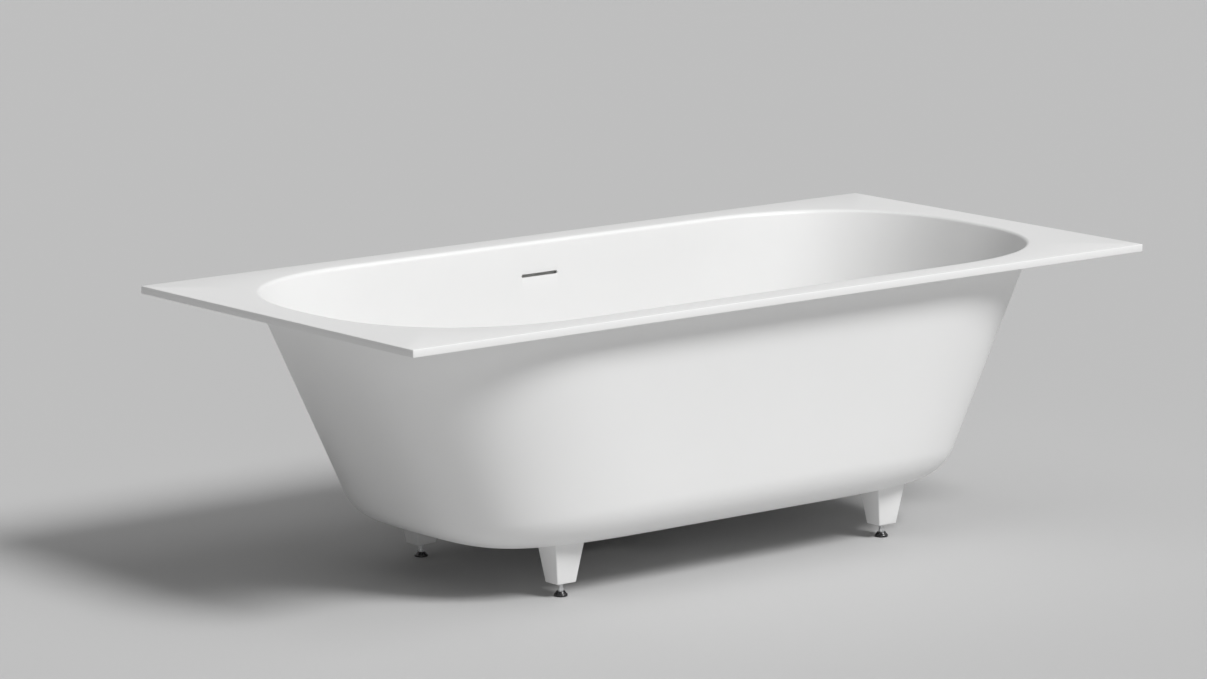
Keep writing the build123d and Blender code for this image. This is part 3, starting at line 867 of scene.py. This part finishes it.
# Overflow box: a moulded plate bonded over the pocket behind the slot, with an elbow that turns the
# water down the wall. Two webs hold the elbow upright, and a bead of adhesive shows round the plate.
plate_place = slot_place @ Matrix.Translation((0.010, 0.014, 0.0105))
plate = rounded_block((0.144, 0.068, 0.003), 0.012, plate_place, 8)
soften(plate, 0.0009, 3)
tower = turned(
    "tower",
    [
        (10.0, 10.0), (10.0, 33.0), (14.0, 33.0), (14.0, 15.5), (14.6, 13.6), (16.0, 12.3),
        (18.0, 11.6), (18.0, 10.0), (10.0, 10.0),
    ],
    64,
)
tower_place = slot_place @ Matrix.Translation((0.051, 0.003, 0))
set_in(tower, tower_place)
elbow_head = [(16.0, -47.0), (15.2, -50.0), (13.0, -52.6), (10.0, -53.8), (6.0, -54.0)]
elbow_head += [(0, -54.0), (0, -48.0), (10.0, -48.0), (10.0, -42.0)]
elbow = turned("elbow", socket_section(12.5, 10.0, 18, 42)[:-2] + elbow_head, 64)
elbow_mouth = slot_place @ Matrix.Translation((0.051, 0.041, 0.033))
set_in(elbow, elbow_mouth @ Matrix.Rotation(-pi / 2, 4, "X"))
webs = []
for side in (-1, 1):
    bpy.ops.object.select_all(action="DESELECT")
    bpy.ops.mesh.primitive_cube_add(size=1, location=(side * 0.0205, 0, 0.0185))
    web = bpy.context.object
    web.scale = (0.015, 0.0022, 0.015)
    bpy.ops.object.transform_apply()
    bpy.ops.object.mode_set(mode="EDIT")
    bpy.ops.mesh.select_mode(type="EDGE")
    bpy.ops.mesh.select_all(action="DESELECT")
    drawn = bmesh.from_edit_mesh(web.data)
    for line in drawn.edges:
        line.select = all(end.co.z > 0.020 and side * end.co.x > 0.020 for end in line.verts)
    bmesh.update_edit_mesh(web.data)
    bpy.ops.mesh.bevel(offset=0.012, segments=5, profile=0.25, affect="EDGES")
    bpy.ops.object.mode_set(mode="OBJECT")
    soften(web, 0.0004, 2)
    webs.append(set_in(web, tower_place))
overflow = joined("overflow_elbow", plate, tower, elbow, *webs)
finish_piece(overflow, white_plastic, "white_plastic", "tub", "overflow_box")
bead_place = slot_place @ Matrix.Translation((0.010, 0.014, 0.0092))
bead = rounded_block((0.1468, 0.0708, 0.0030), 0.0134, bead_place, 8)
bead.name = "overflow_adhesive"
soften(bead, 0.0012, 4)
adhesive = moulded_finish(
    "grey_adhesive", (0.42, 0.42, 0.41), (0.52, 0.52, 0.51), (0.45, 0.62), 300, 90, 0.0003
)
finish_piece(bead, adhesive, "grey_plastic", "tub")

# Overflow pipe: a rigid white pipe that drops from the elbow down the wall, turns under the body in
# one bend and runs in to the waste body. It is drawn as a ring that is pulled along and spun.
bend_radius = 0.045
socket_depth = 0.017
pipe_top = Vector((0.051, 0.361235, 0.417413))
pipe_down = Vector((0, -0.1173, -0.9931)).normalized()
pipe_corner = Vector((0.051, 0.31927, 0.062))
pipe_in = -overflow_way.normalized()
bend = pipe_down.angle(pipe_in)
bend_axis = pipe_down.cross(pipe_in).normalized()
bend_start = pipe_corner - pipe_down * bend_radius * tan(bend / 2)
bend_centre = bend_start + (bend_axis.cross(pipe_down)).normalized() * bend_radius
bpy.ops.object.select_all(action="DESELECT")
bpy.ops.mesh.primitive_circle_add(vertices=64, radius=0.0125)
pipe = bpy.context.object
pipe.data.transform(along(pipe_top - pipe_down * socket_depth, pipe_down, (1, 0, 0)))
bpy.ops.object.mode_set(mode="EDIT")
bpy.ops.mesh.select_all(action="SELECT")
straight_down = bend_start - pipe_top + pipe_down * socket_depth
bpy.ops.mesh.extrude_region_move(TRANSFORM_OT_translate={"value": straight_down})
bpy.ops.mesh.spin(steps=20, angle=-bend, center=bend_centre, axis=bend_axis)
bend_end = pipe_corner + pipe_in * bend_radius * tan(bend / 2)
pipe_end = overflow_foot + pipe_in * socket_depth
bpy.ops.mesh.extrude_region_move(TRANSFORM_OT_translate={"value": pipe_end - bend_end})
bpy.ops.mesh.select_all(action="SELECT")
bpy.ops.mesh.normals_make_consistent(inside=False)
bpy.ops.object.mode_set(mode="OBJECT")
thickness = pipe.modifiers.new("thickness", "SOLIDIFY")
thickness.thickness = 0.0018
thickness.offset = -1
bpy.ops.object.modifier_apply(modifier=thickness.name)
smooth(pipe)
pipe.name = "overflow_down_pipe"
finish_piece(pipe, white_plastic, "white_plastic", "tub", "overflow_pipe")

# Pipe nuts and their wedge seals: three ribbed nuts in white polypropylene press black rubber rings
# on to the pipes. The cap of the trap's cleaning eye is the same nut with a closed face.


def ribbed_nut(name, thread, bore, lift, place, face_rings=()):
    """A hand nut over a threaded mouth at the origin, with rounded grip ribs."""
    outer, grip, head = thread + 2.5, -12.0, lift + 2.5
    section = [(bore, head - 0.4), (bore + 0.4, head)] if bore else [(0, head)]
    section += [*face_rings, (outer - 1.2, head), (outer - 0.3, head - 0.4), (outer, head - 1.2)]
    section += [(outer, grip + 1.0), (outer - 0.8, grip), (thread + 0.8, grip)]
    section += [(thread + 0.05, grip + 0.8), (thread + 0.05, lift)]
    section += [(bore, lift), (bore, head - 0.4)] if bore else [(0, lift)]
    nut = turned(name, section, 96)
    rib_size = (0.0032, 0.0050 * outer / 20, (head - grip - 1.6) / 1000)
    rib_place = Matrix.Translation(((outer + 1.5 - 1.6) / 1000, 0, (head + grip) / 2000))
    ribs = []
    for number in range(12):
        turn = Matrix.Rotation(radians(30 * number + 7.5), 4, "Z")
        rib = rounded_block(rib_size, 0.0009, turn @ rib_place, 3)
        soften(rib, 0.0006, 2)
        ribs.append(rib)
    return set_in(joined(name, nut, *ribs), place)


def wedge_ring(name, radius, place):
    """The wedge of rubber between a socket's mouth and its nut."""
    section = [(radius, 0), (radius + 3.3, 0), (radius + 0.3, 3.0), (radius, 3.0), (radius, 0)]
    return set_in(turned(name, section, 64), place)


trap_mouth = along((-0.057453, 0.048209, 0.062), -to_trap)
joints = (
    ("overflow_nut_upper", "overflow_pipe_seal_upper", 12.5, along(pipe_top, pipe_down, (1, 0, 0))),
    ("overflow_nut_lower", "overflow_pipe_seal_lower", 12.5, along(overflow_foot, overflow_way)),
    ("trap_inlet_nut", "trap_inlet_seal", 20.0, trap_mouth),
)
for nut_node, seal_node, radius, place in joints:
    nut = ribbed_nut(nut_node.replace("nut", "hand_nut"), radius + 3.5, radius + 0.2, 3.0, place)
    finish_piece(nut, white_plastic, "white_plastic", "tub", nut_node)
    seal = wedge_ring(seal_node.replace("seal", "wedge"), radius, place)
    finish_piece(seal, rubber, "black_rubber", "tub", seal_node)

# Trap: a round bowl in white polypropylene with a welded lid. Its inlet socket, its 40 mm outlet with
# a stop collar and the screwed cleaning eye are welded on.
trap_centre = Vector((-0.112609, 0.09449, 0))
eye_place = along((-0.174609, 0.09449, 0.045), (-1, 0, 0))
bowl = turned(
    "trap_cup",
    [
        (0, 18.0), (44.0, 18.0), (47.0, 18.5), (49.2, 20.0), (50.0, 22.4), (50.0, 83.6),
        (50.6, 84.2), (50.6, 86.0), (47.5, 86.0), (47.5, 22.5), (46.4, 21.0), (44.0, 20.5),
        (0, 20.5),
    ],
    128,
)
set_in(bowl, Matrix.Translation(trap_centre))
bore_out(bowl, along(trap_centre + Vector((0, 0, 0.065)), (0, 1, 0)), 0.018, 0.060)
bore_out(bowl, along(trap_centre + Vector((0, 0, 0.062)), -to_trap), 0.018, 0.060)
bore_out(bowl, along(trap_centre + Vector((0, 0, 0.045)), (-1, 0, 0)), 0.016, 0.060)
smooth(bowl)
finish_piece(bowl, white_plastic, "white_plastic", "tub", "trap_bowl")
inlet = turned("trap_inlet_pipe", socket_section(20.0, 18.0, 18, 32), 96)
set_in(inlet, trap_mouth)
spigot = turned(
    "trap_outlet_pipe",
    [
        (18.0, 40.0), (18.0, 99.0), (19.2, 99.0), (20.0, 97.6), (20.0, 59.3), (20.3, 59.0),
        (22.1, 59.0), (22.5, 58.6), (22.5, 56.4), (22.1, 56.0), (20.3, 56.0), (20.0, 55.7),
        (20.0, 40.0), (18.0, 40.0),
    ],
    96,
)
set_in(spigot, along(trap_centre + Vector((0, 0, 0.065)), (0, 1, 0)))
eye = turned(
    "trap_eye_pipe",
    [
        (16.0, -22), (16.0, 0), (18.6, 0), (19.5, -1.0), (19.5, -22), (16.0, -22),
    ],
    96,
)
set_in(eye, eye_place)
for pipe, node in ((inlet, "trap_inlet"), (spigot, "trap_outlet"), (eye, "trap_eye")):
    bore_out(pipe, Matrix.Translation(trap_centre), 0.0499, 0.120)
    smooth(pipe)
    finish_piece(pipe, white_plastic, "white_plastic", "tub", node)
rings = ((7.0, 4.0), (7.4, 3.2), (13.6, 3.2), (14.0, 4.0))
eye_cap = ribbed_nut("trap_eye_hand_cap", 19.5, 0, 1.5, eye_place, rings)
finish_piece(eye_cap, white_plastic, "white_plastic", "tub", "trap_eye_cap")
eye_seal = turned("trap_eye_ring", [(16.0, 0), (19.5, 0), (19.5, 1.5), (16.0, 1.5), (16.0, 0)], 64)
finish_piece(set_in(eye_seal, eye_place), rubber, "black_rubber", "tub", "trap_eye_seal")
lid = turned(
    "trap_cover",
    [
        (0, 86.0), (51.2, 86.0), (52.0, 86.8), (52.0, 88.2), (51.2, 89.0), (46.5, 89.0),
        (46.0, 88.4), (43.0, 88.4), (42.5, 89.0), (30.5, 89.0), (30.0, 88.4), (27.0, 88.4),
        (26.5, 89.0), (0, 89.0),
    ],
    128,
)
baffle_place = Matrix.Rotation(radians(25), 4, "Z") @ Matrix.Translation((0, 0, 0.0590))
baffle = rounded_block((0.090, 0.0025, 0.057), 0.0008, baffle_place, 2)
lid = set_in(joined("trap_cover", lid, baffle), Matrix.Translation(trap_centre))
finish_piece(lid, white_plastic, "white_plastic", "tub", "trap_lid")
